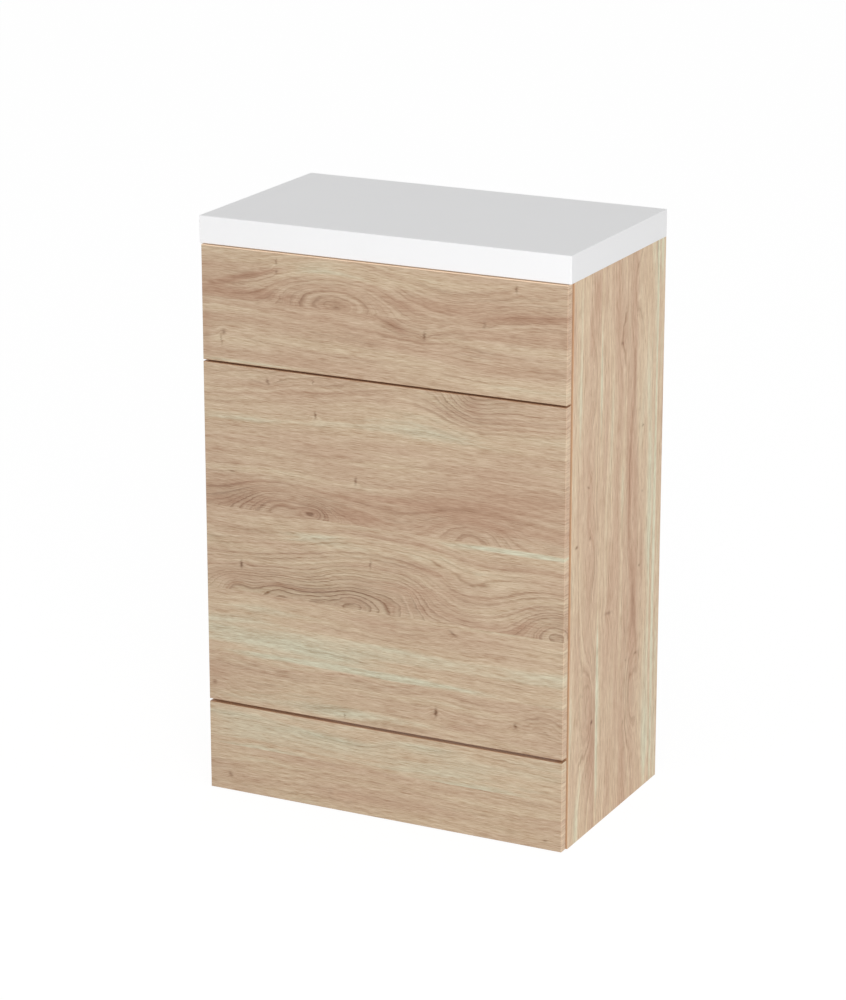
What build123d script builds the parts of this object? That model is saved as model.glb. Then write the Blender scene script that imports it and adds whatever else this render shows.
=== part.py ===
from build123d import *
import os

# Back-to-wall toilet furniture unit: a floor-standing box that hides the cistern behind a pan.
# All sizes are in millimetres. X runs across the unit, -Y is the front and +Z is up.
# The origin is on the floor, in the middle of the unit's width and depth.

# Carcass
unit_width = 600.0
unit_depth = 355.0
carcass_height = 864.0
carcass_board = 18.0
edge_band = 1.0
band_arris = 0.8

# Worktop, a cast slab with a hollow underside
worktop_thickness = 42.0
worktop_side_overhang = 2.0
worktop_front_setback = 2.5
worktop_back_setback = 3.5
worktop_deck = 12.0
worktop_rim = 26.0
worktop_rib = 10.0
worktop_rib_count = 2
worktop_arris = 1.5
worktop_pocket_corner = 8.0

# Front panels, from the floor up: plinth, centre panel, top fascia
front_board = 16.0
front_side_inset = 2.0
floor_clearance = 1.0
plinth_height = 141.0
lower_gap = 4.5
upper_gap = 3.0
fascia_height = 176.0
fascia_top_gap = 1.0

# Buffer pads between the front panels and the front edges of the sides
bumper_thickness = 2.0
bumper_diameter = 10.0
bumper_end_distance = 15.0

# Rails between the two sides
flat_rail_width = 80.0
upright_rail_width = 70.0
bottom_rail_height = 6.0
bottom_front_rail_setback = 30.0

# Cam fittings and dowels at each end of a rail
cam_diameter = 15.0
cam_height = 13.0
cam_pocket_depth = 13.5
cam_setback = 34.0
cam_recess_length = 9.0
cam_recess_width = 1.6
cam_recess_depth = 3.0
cam_bolt_shank = 5.0
cam_bolt_head = 6.4
cam_bolt_thread_length = 11.0
cap_diameter = 18.0
cap_thickness = 1.2
dowel_diameter = 8.0
dowel_depth_in_side = 12.0
dowel_depth_in_rail = 22.0
dowel_chamfer = 1.0
dowel_offset = 24.0

# Press-on clips that hold the front panels: a split stud on the panel, a socket on the side
clip_width = 20.0
clip_plate_height = 44.0
clip_plate_thickness = 3.0
clip_plate_corner = 4.0
clip_screw_offset = 16.0
clip_end_distance = 42.0
clip_side_clearance = 1.0
stud_diameter = 8.0
stud_neck_diameter = 6.0
stud_length = 17.0
stud_tip_diameter = 5.0
stud_split = 1.2
socket_standoff = 4.0
socket_depth = 22.0
socket_height = 22.0
socket_lead_in = 1.5

# Pan-head screws
screw_diameter = 3.5
screw_length = 15.0
screw_head_diameter = 7.0
screw_head_height = 2.4
screw_recess_length = 4.0
screw_recess_width = 0.9
screw_recess_depth = 1.4

# Angle brackets that fix the unit to the wall
bracket_thickness = 2.0
bracket_leg = 38.0
bracket_width = 25.0
bracket_bend_radius = 1.5
bracket_rail_gap = 26.5
bracket_slot_length = 12.0
bracket_slot_width = 6.4
bracket_slot_from_side = 22.0
bracket_screw_spacing = 14.0

# Clearances
fit_clearance = 0.1
clip_clearance = 0.3
hole_end_clearance = 1.0

# Planes of the unit
front_face = -unit_depth / 2
front_back = front_face + front_board
carcass_front = front_back + bumper_thickness
carcass_back = unit_depth / 2
side_outer = unit_width / 2
side_inner = side_outer - carcass_board
front_half_width = side_outer - front_side_inset

# Heights of the front panels
plinth_span = (floor_clearance, floor_clearance + plinth_height)
fascia_span = (carcass_height - fascia_top_gap - fascia_height, carcass_height - fascia_top_gap)
centre_span = (plinth_span[1] + lower_gap, fascia_span[0] - upper_gap)

SIDES = (-1, 1)
LOW_END = (Align.CENTER, Align.CENTER, Align.MIN)
HIGH_END = (Align.CENTER, Align.CENTER, Align.MAX)


# Shared shapes

def block(x_span, y_span, z_span):
    """A rectangular solid between the low and high value on each axis."""
    spans = (x_span, y_span, z_span)
    sizes = [high - low for low, high in spans]
    middle = [(high + low) / 2 for low, high in spans]
    return Pos(*middle) * Box(*sizes)


def rod(start, direction, diameter, length):
    """A round solid from start along direction."""
    return Plane(origin=start, z_dir=direction) * Cylinder(diameter / 2, length, align=LOW_END)


def group(shapes):
    """Separate solids kept together in one sub-part."""
    return Compound([solid for shape in shapes for solid in shape.solids()])


def mirrored(shape):
    """The same shape on the other side of the unit."""
    return mirror(shape, about=Plane.YZ)


# Screws and their holes

def screw_shape():
    """A pan-head screw that points down from the surface it is screwed to."""
    dome = screw_head_height / 2
    head = Cylinder(screw_head_diameter / 2, screw_head_height, align=LOW_END)
    head = fillet(head.faces().sort_by(Axis.Z)[-1].edges(), dome)
    bottom = Pos(0, 0, screw_head_height - screw_recess_depth)
    for angle in (0, 90):
        head -= bottom * Rot(0, 0, angle) * Box(
            screw_recess_length, screw_recess_width, screw_head_height, align=LOW_END
        )
    tip = screw_diameter / 2
    straight = screw_length - tip
    shank = Cylinder(screw_diameter / 2, straight, align=HIGH_END)
    point = Pos(0, 0, -straight) * Cone(0, screw_diameter / 2, tip, align=HIGH_END)
    return head + shank + point


def screws(seats):
    """One screw at each seat, a surface point with the direction in which the screw goes in."""
    shape = screw_shape()
    return group([seat_plane(seat) * shape for seat in seats])


def seat_plane(seat):
    point, direction = seat
    return Plane(origin=point, z_dir=-Vector(direction))


def screw_holes(seats):
    """The holes that the screws go into, through whatever lies below their heads."""
    diameter = screw_diameter + 2 * fit_clearance
    return [rod(point, direction, diameter, screw_length) for point, direction in seats]


# Rails

def flat_rail_place(height):
    """A rail that lies flat behind the front panels, with its middle plane at the given height."""
    return Pos(0, carcass_front + flat_rail_width / 2, height)


def front_upright_place(height):
    """A rail that stands on edge behind the plinth, cam side to the back."""
    depth = carcass_front + bottom_front_rail_setback + carcass_board / 2
    return Pos(0, depth, height + upright_rail_width / 2) * Rot(90, 0, 0)


def rear_upright_place(height):
    """A rail that stands on edge at the back of the unit, cam side to the front."""
    depth = carcass_back - carcass_board / 2
    return Pos(0, depth, height + upright_rail_width / 2) * Rot(-90, 0, 0)


upper_gap_middle = fascia_span[0] - upper_gap / 2

FLAT_RAILS = {
    "top_front_rail": flat_rail_place(carcass_height - carcass_board / 2),
    "middle_front_rail": flat_rail_place(upper_gap_middle),
}
UPRIGHT_RAILS = {
    "bottom_front_rail": front_upright_place(bottom_rail_height),
    "top_rear_rail": rear_upright_place(carcass_height - upright_rail_width),
    "bottom_rear_rail": rear_upright_place(bottom_rail_height),
}
RAIL_PLACES = {**FLAT_RAILS, **UPRIGHT_RAILS}


def rail_joint(place, side, offset):
    """The point where a fitting's axis crosses the inner face of a side."""
    return (place * Pos(side * side_inner, offset, 0)).position


def rail_ends():
    """Each end of each rail, as the rail's place and the side that it meets."""
    return [(place, side) for place in RAIL_PLACES.values() for side in SIDES]


def rail_board(width, banded):
    """A rail lying flat at the origin, drilled for its fittings; its cams go in from below."""
    low = -width / 2 + (edge_band if banded else 0)
    board = block((-side_inner, side_inner), (low, width / 2), (-carcass_board / 2, carcass_board / 2))
    for side in SIDES:
        end = (side * side_inner, 0, 0)
        inward = (-side, 0, 0)
        board -= rod(end, inward, cam_bolt_head + 2 * fit_clearance, cam_setback)
        pocket = Cylinder(cam_diameter / 2 + fit_clearance, cam_pocket_depth, align=LOW_END)
        board -= Pos(side * (side_inner - cam_setback), 0, -carcass_board / 2) * pocket
        for offset in (-dowel_offset, dowel_offset):
            hole_depth = dowel_depth_in_rail + hole_end_clearance
            board -= rod((end[0], offset, 0), inward, dowel_diameter + 2 * fit_clearance, hole_depth)
    return board


def rails():
    """The five rails, each a sub-part of its own."""
    flat = rail_board(flat_rail_width, banded=True)
    upright = rail_board(upright_rail_width, banded=False)
    parts = {name: place * flat for name, place in FLAT_RAILS.items()}
    parts.update({name: place * upright for name, place in UPRIGHT_RAILS.items()})
    return parts


def rail_edge_bands():
    """The strips on the front edges of the two flat rails."""
    strip = block(
        (-side_inner, side_inner),
        (-flat_rail_width / 2, edge_band - flat_rail_width / 2),
        (-carcass_board / 2, carcass_board / 2),
    )
    strip = fillet(strip.faces().sort_by(Axis.Y)[0].edges().filter_by(Axis.X), band_arris)
    return group([place * strip for place in FLAT_RAILS.values()])


# Cam fittings and dowels

def cam_shape(side):
    """A cam disc in its pocket, slotted for the bolt that comes from the given side."""
    top = cam_pocket_depth - carcass_board / 2
    disc = Pos(0, 0, top - cam_height) * Cylinder(cam_diameter / 2, cam_height, align=LOW_END)
    reach = cam_bolt_head / 2 + 2 * fit_clearance
    slot = rod((-side * reach, 0, 0), (side, 0, 0), 2 * reach, cam_diameter)
    disc -= slot
    recess_floor = Pos(0, 0, top - cam_height)
    for angle in (0, 90):
        disc -= recess_floor * Rot(0, 0, angle) * Box(
            cam_recess_length, cam_recess_width, 2 * cam_recess_depth
        )
    return Pos(side * (side_inner - cam_setback), 0, 0) * disc


def cam_bolt_shape(side):
    """A bolt screwed into a side, with its ball head in the cam."""
    length = cam_bolt_thread_length + cam_setback
    start = (side * (side_inner + cam_bolt_thread_length), 0, 0)
    shank = rod(start, (-side, 0, 0), cam_bolt_shank, length)
    head = Pos(side * (side_inner - cam_setback), 0, 0) * Sphere(cam_bolt_head / 2)
    return shank + head


def cap_shape(side):
    """The cover cap pressed over a cam."""
    disc = Cylinder(cap_diameter / 2, cap_thickness, align=HIGH_END)
    disc = fillet(disc.faces().sort_by(Axis.Z)[0].edges(), cap_thickness / 2)
    return Pos(side * (side_inner - cam_setback), 0, -carcass_board / 2) * disc


def dowel_shape(side, offset):
    """A wooden dowel, half in the side and half in the rail."""
    length = dowel_depth_in_side + dowel_depth_in_rail
    pin = Cylinder(dowel_diameter / 2, length)
    pin = chamfer(pin.edges().filter_by(GeomType.CIRCLE), dowel_chamfer)
    middle = side_inner + (dowel_depth_in_side - dowel_depth_in_rail) / 2
    return Pos(side * middle, offset, 0) * Rot(0, 90, 0) * pin


def rail_fittings(shape):
    """The same fitting at both ends of every rail."""
    return group([place * shape(side) for place, side in rail_ends()])


def dowels():
    """Two wooden dowels at both ends of every rail."""
    pins = []
    for place, side in rail_ends():
        for offset in (-dowel_offset, dowel_offset):
            pins.append(place * dowel_shape(side, offset))
    return group(pins)


def fitting_holes(side):
    """The blind holes in one side for the bolts and dowels of the rails."""
    outward = (side, 0, 0)
    holes = []
    for place in RAIL_PLACES.values():
        bolt = rail_joint(place, side, 0)
        holes.append(rod(bolt, outward, cam_bolt_shank + 2 * fit_clearance, cam_bolt_thread_length))
        for offset in (-dowel_offset, dowel_offset):
            dowel = rail_joint(place, side, offset)
            holes.append(rod(dowel, outward, dowel_diameter + 2 * fit_clearance, dowel_depth_in_side))
    return holes


# Press-on clips for the front panels

def clip_heights(span, rows):
    """Evenly spaced clip heights between the two end clips of a panel."""
    first = span[0] + clip_end_distance
    last = span[1] - clip_end_distance
    step = (last - first) / (rows - 1)
    return [first + step * row for row in range(rows)]


PANEL_CLIPS = {
    "fascia": clip_heights(fascia_span, 2),
    "centre_panel": clip_heights(centre_span, 3),
    "plinth": clip_heights(plinth_span, 2),
}

clip_axis = side_inner - clip_side_clearance - clip_width / 2
socket_front = front_back + socket_standoff
socket_middle = socket_front + socket_depth / 2
socket_width = 2 * (side_inner - clip_axis)


def stud_shape():
    """A mounting plate with a split stud; the plate lies on a panel's back and the stud points up."""
    plate = Box(clip_width, clip_plate_height, clip_plate_thickness, align=LOW_END)
    plate = fillet(plate.edges().filter_by(Axis.Z), clip_plate_corner)
    for offset in (-clip_screw_offset, clip_screw_offset):
        hole = Cylinder(screw_diameter / 2 + fit_clearance, clip_plate_thickness, align=LOW_END)
        plate -= Pos(0, offset, 0) * hole
    head_length = stud_length / 2
    shoulder = clip_plate_thickness + stud_length - head_length
    neck = Cylinder(stud_neck_diameter / 2, shoulder, align=LOW_END)
    collar = Pos(0, 0, shoulder) * Cylinder(stud_diameter / 2, head_length / 2, align=LOW_END)
    nose = Cone(stud_diameter / 2, stud_tip_diameter / 2, head_length / 2, align=LOW_END)
    nose = Pos(0, 0, shoulder + head_length / 2) * nose
    stud = neck + collar + nose
    stud -= Pos(0, 0, clip_plate_thickness + stud_length / 4) * Box(
        stud_split, stud_diameter, stud_length, align=LOW_END
    )
    return plate + stud


def stud_places(heights):
    """Where the studs' plates lie on the back of a front panel."""
    return [
        Plane(origin=(side * clip_axis, front_back, height), x_dir=(1, 0, 0), z_dir=(0, 1, 0))
        for height in heights
        for side in SIDES
    ]


def studs(heights):
    shape = stud_shape()
    return group([place * shape for place in stud_places(heights)])


def stud_screw_seats(heights):
    """Screws through the studs' plates into a front panel."""
    plate_face = front_back + clip_plate_thickness
    return [
        ((side * clip_axis, plate_face, height + offset), (0, -1, 0))
        for height in heights
        for side in SIDES
        for offset in (-clip_screw_offset, clip_screw_offset)
    ]


def socket_shape():
    """A socket block with two screw ears, on the inner face of the right-hand side at height 0."""
    depth_span = (socket_front, socket_front + socket_depth)
    ear_span = (side_inner - clip_plate_thickness, side_inner)
    ears = block(ear_span, depth_span, (-clip_plate_height / 2, clip_plate_height / 2))
    body_span = (side_inner - socket_width, side_inner)
    body = block(body_span, depth_span, (-socket_height / 2, socket_height / 2))
    shape = ears + body
    bore = stud_diameter + 2 * clip_clearance
    mouth = (clip_axis, socket_front, 0)
    shape -= rod(mouth, (0, 1, 0), bore, socket_depth)
    flare = Cone(bore / 2 + socket_lead_in, bore / 2, socket_lead_in, align=LOW_END)
    shape -= Plane(origin=mouth, z_dir=(0, 1, 0)) * flare
    return shape - screw_holes(socket_screw_seats([0], 1))


def socket_screw_seats(heights, side):
    """Screws through the ears of the sockets into one side."""
    ear_face = side_inner - clip_plate_thickness
    return [
        ((side * ear_face, socket_middle, height + offset), (side, 0, 0))
        for height in heights
        for offset in (-clip_screw_offset, clip_screw_offset)
    ]


def sockets(heights):
    right = socket_shape()
    left = mirrored(right)
    return group([Pos(0, 0, height) * shape for height in heights for shape in (left, right)])


def all_clip_heights():
    return [height for heights in PANEL_CLIPS.values() for height in heights]


# Wall brackets

bracket_rail_distance = upright_rail_width + bracket_rail_gap + bracket_width / 2
BRACKET_HEIGHTS = (bottom_rail_height + bracket_rail_distance, carcass_height - bracket_rail_distance)


def bracket_shape():
    """An angle bracket in the right-hand back corner, centred on height 0."""
    height_span = (-bracket_width / 2, bracket_width / 2)
    side_leg_depth = (carcass_back - bracket_leg, carcass_back)
    side_leg = block((side_inner - bracket_thickness, side_inner), side_leg_depth, height_span)
    wall_leg_depth = (carcass_back - bracket_thickness, carcass_back)
    wall_leg = block((side_inner - bracket_leg, side_inner), wall_leg_depth, height_span)
    shape = side_leg + wall_leg
    corners = shape.edges().filter_by(Axis.Z).sort_by_distance((side_inner, carcass_back, 0))
    shape = fillet(corners[0], bracket_thickness + bracket_bend_radius)
    slot = extrude(SlotOverall(bracket_slot_length, bracket_slot_width), bracket_leg / 2, both=True)
    shape -= Pos(side_inner - bracket_slot_from_side, carcass_back, 0) * Rot(90, 0, 0) * slot
    return shape - screw_holes(bracket_screw_seats(0, 1))


def bracket_screw_seats(height, side):
    """Screws through one bracket into a side."""
    leg_face = side_inner - bracket_thickness
    middle = carcass_back - (bracket_leg + bracket_thickness) / 2
    return [
        ((side * leg_face, middle + offset, height), (side, 0, 0))
        for offset in (-bracket_screw_spacing / 2, bracket_screw_spacing / 2)
    ]


def wall_brackets():
    right = bracket_shape()
    left = mirrored(right)
    return group([Pos(0, 0, height) * shape for height in BRACKET_HEIGHTS for shape in (left, right)])


def all_bracket_screw_seats():
    places = [(height, side) for height in BRACKET_HEIGHTS for side in SIDES]
    return [seat for height, side in places for seat in bracket_screw_seats(height, side)]


# Side panels

def side_slice(side, y_span):
    """The stretch of one side between two depths; its upright edges are rounded."""
    x_span = sorted((side * side_inner, side * side_outer))
    z_span = (0, carcass_height)
    whole = block(x_span, (carcass_front, carcass_back), z_span)
    whole = fillet(whole.edges().filter_by(Axis.Z), band_arris)
    return whole & block(x_span, y_span, z_span)


def side_board(side):
    """One side between its front and back edge bands, drilled on its inner face."""
    board = side_slice(side, (carcass_front + edge_band, carcass_back - edge_band))
    seats = socket_screw_seats(all_clip_heights(), side)
    for height in BRACKET_HEIGHTS:
        seats += bracket_screw_seats(height, side)
    return board - fitting_holes(side) - screw_holes(seats)


def side_bands(side):
    """The strips on the front and back edges of one side."""
    front = side_slice(side, (carcass_front, carcass_front + edge_band))
    back = side_slice(side, (carcass_back - edge_band, carcass_back))
    return group([front, back])


# Front panels

def front_slice(span, x_span, z_span):
    """The part of one front panel in a rectangle; the panel is rounded round its face and back."""
    y_span = (front_face, front_back)
    whole = block((-front_half_width, front_half_width), y_span, span)
    whole = fillet(whole.faces().filter_by(Axis.Y).edges(), band_arris)
    return whole & block(x_span, y_span, z_span)


def front_board_shape(span, heights):
    """A front panel inside its edge bands, drilled at the back for the stud screws."""
    half = front_half_width - edge_band
    board = front_slice(span, (-half, half), (span[0] + edge_band, span[1] - edge_band))
    return board - screw_holes(stud_screw_seats(heights))


def front_bands(span):
    """The strips on all four edges of a front panel."""
    half = front_half_width
    low, high = span
    bottom = front_slice(span, (-half, half), (low, low + edge_band))
    top = front_slice(span, (-half, half), (high - edge_band, high))
    left = front_slice(span, (-half, edge_band - half), (low + edge_band, high - edge_band))
    return group([bottom, top, left, mirrored(left)])


def bumper_pads():
    """Buffer pads on the front edges of the sides, behind the corners of each front panel."""
    edge_middle = side_outer - carcass_board / 2
    heights = []
    for low, high in (plinth_span, centre_span, fascia_span):
        heights += [low + bumper_end_distance, high - bumper_end_distance]
    return group([
        rod((side * edge_middle, front_back, height), (0, 1, 0), bumper_diameter, bumper_thickness)
        for height in heights
        for side in SIDES
    ])


# Worktop

def worktop():
    """The cast top: a flat deck with a downturned rim and cross ribs below it."""
    half = side_outer + worktop_side_overhang
    y_span = (front_face + worktop_front_setback, carcass_back - worktop_back_setback)
    slab = block((-half, half), y_span, (carcass_height, carcass_height + worktop_thickness))
    slab = fillet(slab.edges(), worktop_arris)
    pocket_count = worktop_rib_count + 1
    hollow_width = 2 * (half - worktop_rim)
    pocket_width = (hollow_width - worktop_rib_count * worktop_rib) / pocket_count
    pocket_depth = worktop_thickness - worktop_deck
    pocket_length = y_span[1] - y_span[0] - 2 * worktop_rim
    pocket = Box(pocket_width, pocket_length, pocket_depth, align=LOW_END)
    pocket = fillet(pocket.edges().filter_by(Axis.Z), worktop_pocket_corner)
    for index in range(pocket_count):
        x_middle = (pocket_width - hollow_width) / 2 + index * (pocket_width + worktop_rib)
        slab -= Pos(x_middle, (y_span[0] + y_span[1]) / 2, carcass_height) * pocket
    return slab


# The whole unit

def unit_parts():
    """Every sub-part of the unit by name."""
    clip_seats = [seat for side in SIDES for seat in socket_screw_seats(all_clip_heights(), side)]
    parts = {
        "worktop": worktop(),
        "left_side_panel": side_board(-1),
        "right_side_panel": side_board(1),
        "left_side_edge_bands": side_bands(-1),
        "right_side_edge_bands": side_bands(1),
        "top_fascia": front_board_shape(fascia_span, PANEL_CLIPS["fascia"]),
        "fascia_edge_bands": front_bands(fascia_span),
        "centre_panel": front_board_shape(centre_span, PANEL_CLIPS["centre_panel"]),
        "centre_panel_edge_bands": front_bands(centre_span),
        "plinth_panel": front_board_shape(plinth_span, PANEL_CLIPS["plinth"]),
        "plinth_edge_bands": front_bands(plinth_span),
        "rail_edge_bands": rail_edge_bands(),
        "cam_discs": rail_fittings(cam_shape),
        "cam_bolts": rail_fittings(cam_bolt_shape),
        "cam_cover_caps": rail_fittings(cap_shape),
        "wooden_dowels": dowels(),
        "bumper_pads": bumper_pads(),
        "socket_screws": screws(clip_seats),
        "wall_brackets": wall_brackets(),
        "wall_bracket_screws": screws(all_bracket_screw_seats()),
    }
    parts.update(rails())
    for panel, heights in PANEL_CLIPS.items():
        parts[panel + "_clip_sockets"] = sockets(heights)
        parts[panel + "_clip_studs"] = studs(heights)
        parts[panel + "_stud_screws"] = screws(stud_screw_seats(heights))
    return parts


os.makedirs("parts", exist_ok=True)
for name, shape in unit_parts().items():
    export_step(shape, "parts/" + name + ".step")
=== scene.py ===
import math
from collections import namedtuple

import bmesh
import bpy
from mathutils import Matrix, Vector


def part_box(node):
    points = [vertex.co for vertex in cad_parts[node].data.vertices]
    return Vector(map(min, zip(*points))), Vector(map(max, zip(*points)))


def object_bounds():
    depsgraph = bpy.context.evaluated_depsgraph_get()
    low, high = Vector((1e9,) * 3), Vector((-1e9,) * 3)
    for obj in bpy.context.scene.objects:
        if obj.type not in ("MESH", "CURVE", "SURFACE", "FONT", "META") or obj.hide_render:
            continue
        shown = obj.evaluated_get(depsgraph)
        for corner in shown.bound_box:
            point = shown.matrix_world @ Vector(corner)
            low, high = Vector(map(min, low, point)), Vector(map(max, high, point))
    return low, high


bl_info = {
    "name": "Toilet Furniture Unit",
    "version": (1, 0, 0),
    "blender": (4, 5, 0),
    "location": "View3D > Sidebar > Toilet Unit",
    "description": "Light oak decor, white worktop, fittings and a studio for a back-to-wall toilet unit",
    "category": "Material",
}

# The unit as it was made: its boards and fittings are there before any finish is given.
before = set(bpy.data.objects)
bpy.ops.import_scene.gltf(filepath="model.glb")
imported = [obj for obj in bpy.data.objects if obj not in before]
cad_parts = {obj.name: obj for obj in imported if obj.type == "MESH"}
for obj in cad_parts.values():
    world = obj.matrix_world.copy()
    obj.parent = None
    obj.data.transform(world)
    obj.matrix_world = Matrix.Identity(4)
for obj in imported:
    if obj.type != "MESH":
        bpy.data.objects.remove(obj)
unit_low, unit_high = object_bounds()

MM = 0.001
# The longer side of the picture, in pixels, and the camera's sensor, in millimetres
IMAGE_LONG_SIDE = 1000
SENSOR_WIDTH = 36.0
FAR_CLIP = 100.0

# Patterns are written in millimetres, and lamps and the camera in metres.
FRONT_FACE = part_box("top_fascia")[0].y / MM
SIDE_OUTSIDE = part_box("right_side_panel")[1].x / MM
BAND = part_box("top_fascia")[0].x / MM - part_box("fascia_edge_bands")[0].x / MM
FASCIA_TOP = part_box("fascia_edge_bands")[1].z / MM
CENTRE_PANEL_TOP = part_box("centre_panel_edge_bands")[1].z / MM
PLINTH_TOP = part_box("plinth_edge_bands")[1].z / MM


# Settings that a user may change

class StageSettings(bpy.types.PropertyGroup):
    """Camera, lamps and floor."""

    camera_place: bpy.props.FloatVectorProperty(
        name="Camera place", description="Where the camera stands", size=3,
        default=(2.2100, -4.4771, 1.9877), subtype="TRANSLATION", unit="LENGTH")
    camera_turn: bpy.props.FloatProperty(
        name="Camera turn", description="How far round to the right of the unit the camera stands",
        default=math.radians(26.465), subtype="ANGLE", unit="ROTATION")
    camera_tilt: bpy.props.FloatProperty(
        name="Camera tilt", description="How far down the camera looks",
        default=math.radians(17.032), subtype="ANGLE", unit="ROTATION")
    camera_focal_pixels: bpy.props.FloatProperty(
        name="Focal length in pixels", description="Focal length, in pixels of the picture",
        default=3425.5, subtype="PIXEL")
    key_power: bpy.props.FloatProperty(
        name="Key lamp", description="Power of the large lamp at the front right",
        default=194.0, min=0.0, unit="POWER")
    key_size: bpy.props.FloatProperty(
        name="Key lamp size", description="Side of the large square lamp",
        default=3.6, min=0.1, unit="LENGTH")
    key_place: bpy.props.FloatVectorProperty(
        name="Key lamp place", description="Where the large lamp stands", size=3,
        default=(3.20, -5.05, 1.72), subtype="TRANSLATION", unit="LENGTH")
    room_light: bpy.props.FloatProperty(
        name="Room light", description="Even light from all round", default=0.565, min=0.0)
    floor_colour: bpy.props.FloatVectorProperty(
        name="Floor", description="Colour of the floor", size=3, default=(0.93, 0.93, 0.93),
        min=0.0, max=1.0, subtype="COLOR_GAMMA")
    floor_size: bpy.props.FloatProperty(
        name="Floor size", description="Width of the square floor", default=40.0, min=1.0, unit="LENGTH")
    floor_glow: bpy.props.FloatProperty(
        name="Floor glow", description="How white the floor looks away from the unit", default=1.09, min=0.0)
    floor_glow_share: bpy.props.FloatProperty(
        name="Floor glow share", description="How much of the floor's look is glow, and not shadow",
        default=0.84, min=0.0, max=1.0, subtype="FACTOR")


class OakSettings(bpy.types.PropertyGroup):
    """Colours and strengths of the oak decor."""

    stain: bpy.props.FloatVectorProperty(
        name="Stain", description="Colour that the rings, fibres and knots are stained with", size=3,
        default=(0.630, 0.443, 0.247), min=0.0, max=1.0, subtype="COLOR_GAMMA")
    smoke: bpy.props.FloatVectorProperty(
        name="Smoke", description="Grey that darkens the wide rings, the loops and the knots", size=3,
        default=(0.58, 0.53, 0.50), min=0.0, max=1.0, subtype="COLOR_GAMMA")
    dark: bpy.props.FloatVectorProperty(
        name="Dark wood", description="Colour of the darkest soft tone", size=3,
        default=(0.655, 0.530, 0.435), min=0.0, max=1.0, subtype="COLOR_GAMMA")
    brown: bpy.props.FloatVectorProperty(
        name="Brown wood", description="Colour of the pinkish brown wood", size=3,
        default=(0.757, 0.640, 0.545), min=0.0, max=1.0, subtype="COLOR_GAMMA")
    middle: bpy.props.FloatVectorProperty(
        name="Middle", description="Colour of most of the wood", size=3, default=(0.816, 0.729, 0.631),
        min=0.0, max=1.0, subtype="COLOR_GAMMA")
    light: bpy.props.FloatVectorProperty(
        name="Light wood", description="Colour of the light wood", size=3, default=(0.845, 0.774, 0.668),
        min=0.0, max=1.0, subtype="COLOR_GAMMA")
    cream: bpy.props.FloatVectorProperty(
        name="Cream streaks", description="Colour of the palest streaks", size=3,
        default=(0.852, 0.846, 0.752), min=0.0, max=1.0, subtype="COLOR_GAMMA")
    # Painted shade: a darker brown for the band faces that look into the gaps between panels and for the side
    # panels' front edges, standing in for the shade in those gaps.
    gap_shade: bpy.props.FloatVectorProperty(
        name="Lip", description="Colour of the bands that face a gap", size=3,
        default=(0.76, 0.58, 0.44), min=0.0, max=1.0, subtype="COLOR_GAMMA")
    # How much of the painted gap shade covers the grain.
    gap_shade_cover: bpy.props.FloatProperty(
        name="Lip cover", description="How far the lip's colour covers the grain", default=0.8,
        min=0.0, max=1.0, subtype="FACTOR")
    # Painted highlight on a paler peach edge colour: the top of the band under the worktop is coloured bright
    # to stand in for the light on that edge.
    top_highlight: bpy.props.FloatVectorProperty(
        name="Top lip", description="Colour of the band under the worktop", size=3,
        default=(0.98, 0.86, 0.74), min=0.0, max=1.0, subtype="COLOR_GAMMA")
    rings: bpy.props.FloatProperty(
        name="Rings", description="How much darker the growth rings are", default=0.33, min=0.0, max=1.0)
    fibres: bpy.props.FloatProperty(
        name="Fibres", description="Contrast of the fine fibres", default=1.06, min=0.0, max=2.0)
    roughness: bpy.props.FloatProperty(
        name="Roughness", description="Roughness of the decor paper", default=0.58, min=0.0, max=1.0,
        subtype="FACTOR")
    side_gain: bpy.props.FloatProperty(
        name="Side gain", description="How much paler the decor of the sides and edges is", default=1.34,
        min=0.5, max=2.0)
    rail_gain: bpy.props.FloatProperty(
        name="Rail gain", description="How much paler the decor of the rails is", default=1.2,
        min=0.5, max=2.0)


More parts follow.
